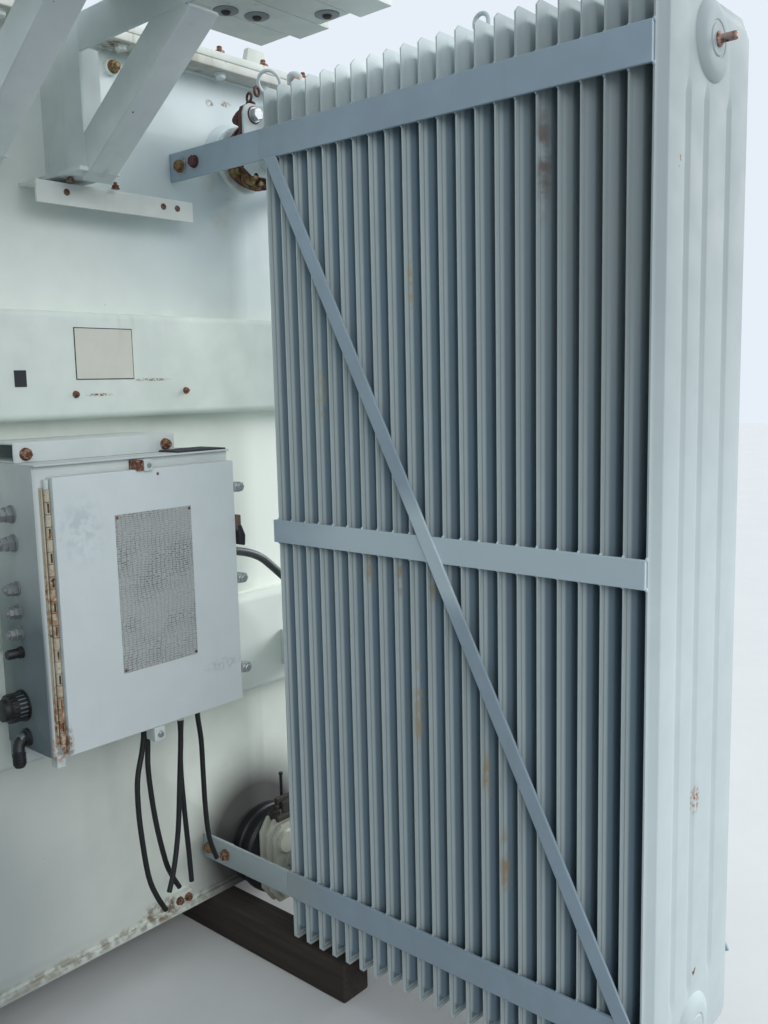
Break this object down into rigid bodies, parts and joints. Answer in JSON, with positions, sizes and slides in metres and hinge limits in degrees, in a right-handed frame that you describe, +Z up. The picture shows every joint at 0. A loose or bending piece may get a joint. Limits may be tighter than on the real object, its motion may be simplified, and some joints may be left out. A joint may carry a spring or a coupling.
{
  "type": "power transformer",
  "caption": "Oil-filled power transformer: ribbed tank with front and back plate radiator banks, control cabinet with hinged door, wall brackets and bushings.",
  "frame": {"origin": "centre of the bounding box's base, on the ground under the tank", "axes": "+Z up; the tank's long side runs along X; -Y is the front, with the control cabinet"},
  "size_m": [2.73, 3.804, 2.9646],
  "materials": {
    "base_plate": "pale grey-white paint, weathered",
    "bracket_1": "pale grey-white paint, weathered",
    "bracket_2": "pale grey-white paint, weathered",
    "cabinet_body": "pale grey-white paint, weathered",
    "cabinet_door": "pale grey-white paint, weathered",
    "cable_tail_1": "matte black sheath",
    "cable_tail_2": "matte black sheath",
    "cable_tail_3": "matte black sheath",
    "cable_tail_4": "matte black sheath",
    "cable_tail_5": "matte black sheath",
    "conduit": "grey sheath",
    "cover": "pale grey-white paint, weathered",
    "hv_bushing_1": "brown glaze",
    "hv_bushing_2": "brown glaze",
    "hv_bushing_3": "brown glaze",
    "junction_box": "pale grey-white paint, weathered",
    "low_rail": "pale grey-white paint, weathered",
    "lower_band": "pale grey-white paint, weathered",
    "lv_bushing_1": "brown glaze",
    "lv_bushing_2": "brown glaze",
    "lv_bushing_3": "brown glaze",
    "lv_bushing_4": "brown glaze",
    "platform": "pale grey-white paint, weathered",
    "radiator_back_left": "pale grey-white paint, weathered",
    "radiator_back_right": "pale grey-white paint, weathered",
    "radiator_front_left": "pale grey-white paint, weathered",
    "radiator_front_right": "pale grey-white paint, weathered",
    "rim": "pale grey-white paint, weathered",
    "tank": "pale grey-white paint, weathered",
    "stay_top_inner_front_right": "pale grey-white paint, weathered",
    "stay_top_inner_front_left": "pale grey-white paint, weathered",
    "stay_top_inner_back_right": "pale grey-white paint, weathered",
    "stay_top_inner_back_left": "pale grey-white paint, weathered",
    "stay_top_outer_front_right": "pale grey-white paint, weathered",
    "stay_top_outer_front_left": "pale grey-white paint, weathered",
    "stay_top_outer_back_right": "pale grey-white paint, weathered",
    "stay_top_outer_back_left": "pale grey-white paint, weathered",
    "stay_low_inner_front_right": "pale grey-white paint, weathered",
    "stay_low_inner_front_left": "pale grey-white paint, weathered",
    "stay_low_inner_back_right": "pale grey-white paint, weathered",
    "stay_low_inner_back_left": "pale grey-white paint, weathered",
    "stay_low_outer_front_right": "pale grey-white paint, weathered",
    "stay_low_outer_front_left": "pale grey-white paint, weathered",
    "stay_low_outer_back_right": "pale grey-white paint, weathered",
    "stay_low_outer_back_left": "pale grey-white paint, weathered",
    "timber_1": "dark, weathered",
    "timber_2": "dark, weathered",
    "timber_3": "dark, weathered",
    "top_rail": "pale grey-white paint, weathered",
    "upper_band": "pale grey-white paint, weathered",
    "valve_low_back_left": "pale grey-white paint, weathered",
    "valve_low_back_right": "pale grey-white paint, weathered",
    "valve_low_front_left": "pale grey-white paint, weathered",
    "valve_low_front_right": "pale grey-white paint, weathered",
    "valve_top_back_left": "pale grey-white paint, weathered",
    "valve_top_back_right": "pale grey-white paint, weathered",
    "valve_top_front_left": "pale grey-white paint, weathered",
    "valve_top_front_right": "pale grey-white paint, weathered",
    "wall_angle": "pale grey-white paint, weathered"
  },
  "bodies": {
    "transformer": {"base_plate": "base_plate", "bracket_1": "bracket_1", "bracket_2": "bracket_2", "cabinet_body": "cabinet_body", "cable_tail_1": "cable_tail_1", "cable_tail_2": "cable_tail_2", "cable_tail_3": "cable_tail_3", "cable_tail_4": "cable_tail_4", "cable_tail_5": "cable_tail_5", "conduit": "conduit", "cover": "cover", "hv_bushing_1": "hv_bushing_1", "hv_bushing_2": "hv_bushing_2", "hv_bushing_3": "hv_bushing_3", "junction_box": "junction_box", "low_rail": "low_rail", "lower_band": "lower_band", "lv_bushing_1": "lv_bushing_1", "lv_bushing_2": "lv_bushing_2", "lv_bushing_3": "lv_bushing_3", "lv_bushing_4": "lv_bushing_4", "platform": "platform", "radiator_back_left": "radiator_back_left", "radiator_back_right": "radiator_back_right", "radiator_front_left": "radiator_front_left", "radiator_front_right": "radiator_front_right", "rim": "rim", "tank": "tank", "stay_top_inner_front_right": "stay_top_inner_front_right", "stay_top_inner_front_left": "stay_top_inner_front_left", "stay_top_inner_back_right": "stay_top_inner_back_right", "stay_top_inner_back_left": "stay_top_inner_back_left", "stay_top_outer_front_right": "stay_top_outer_front_right", "stay_top_outer_front_left": "stay_top_outer_front_left", "stay_top_outer_back_right": "stay_top_outer_back_right", "stay_top_outer_back_left": "stay_top_outer_back_left", "stay_low_inner_front_right": "stay_low_inner_front_right", "stay_low_inner_front_left": "stay_low_inner_front_left", "stay_low_inner_back_right": "stay_low_inner_back_right", "stay_low_inner_back_left": "stay_low_inner_back_left", "stay_low_outer_front_right": "stay_low_outer_front_right", "stay_low_outer_front_left": "stay_low_outer_front_left", "stay_low_outer_back_right": "stay_low_outer_back_right", "stay_low_outer_back_left": "stay_low_outer_back_left", "timber_1": "timber_1", "timber_2": "timber_2", "timber_3": "timber_3", "top_rail": "top_rail", "upper_band": "upper_band", "valve_low_back_left": "valve_low_back_left", "valve_low_back_right": "valve_low_back_right", "valve_low_front_left": "valve_low_front_left", "valve_low_front_right": "valve_low_front_right", "valve_top_back_left": "valve_top_back_left", "valve_top_back_right": "valve_top_back_right", "valve_top_front_left": "valve_top_front_left", "valve_top_front_right": "valve_top_front_right", "wall_angle": "wall_angle"},
    "door": {"cabinet_door": "cabinet_door"}
  },
  "joints": [
    {"name": "door_hinge", "type": "hinge", "parent": "transformer", "child": "door", "pos_m": [0.2075, -0.797, 1.0375], "axis": [0, 0, -1], "range_deg": [0, 120]}
  ]
}
